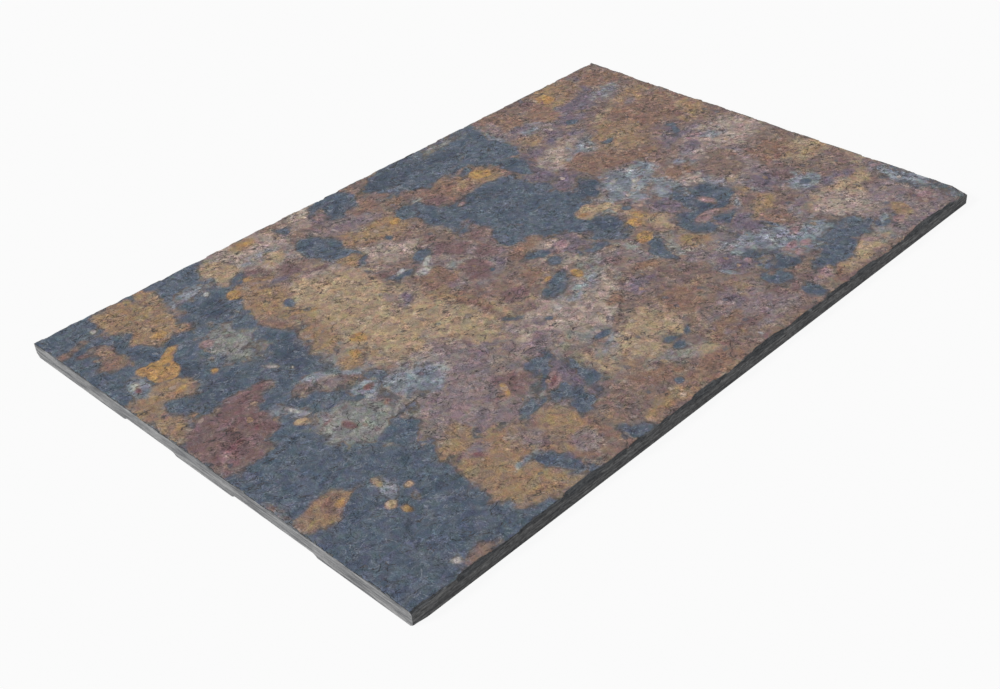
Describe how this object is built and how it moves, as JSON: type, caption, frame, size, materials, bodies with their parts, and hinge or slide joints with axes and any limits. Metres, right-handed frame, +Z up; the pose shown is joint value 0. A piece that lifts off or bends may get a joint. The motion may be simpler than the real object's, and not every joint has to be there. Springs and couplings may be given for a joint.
{
  "type": "slate tile",
  "caption": "Rectangular riven slate tile: a thin slab with a cleft, stained upper face, sawn and spalled edges and a flat bed face, for paving or cladding.",
  "frame": {"origin": "centre of the rectangle at the bed face that lies on the floor", "axes": "+X along the length, +Y along the width, +Z up out of the cleft face"},
  "size_m": [0.6, 0.4, 0.0115],
  "materials": {
    "slate": "natural cleft, matt, blue-grey with ochre, rust and plum stains"
  },
  "bodies": {
    "root": {"slate_tile": "slate"}
  },
  "joints": []
}
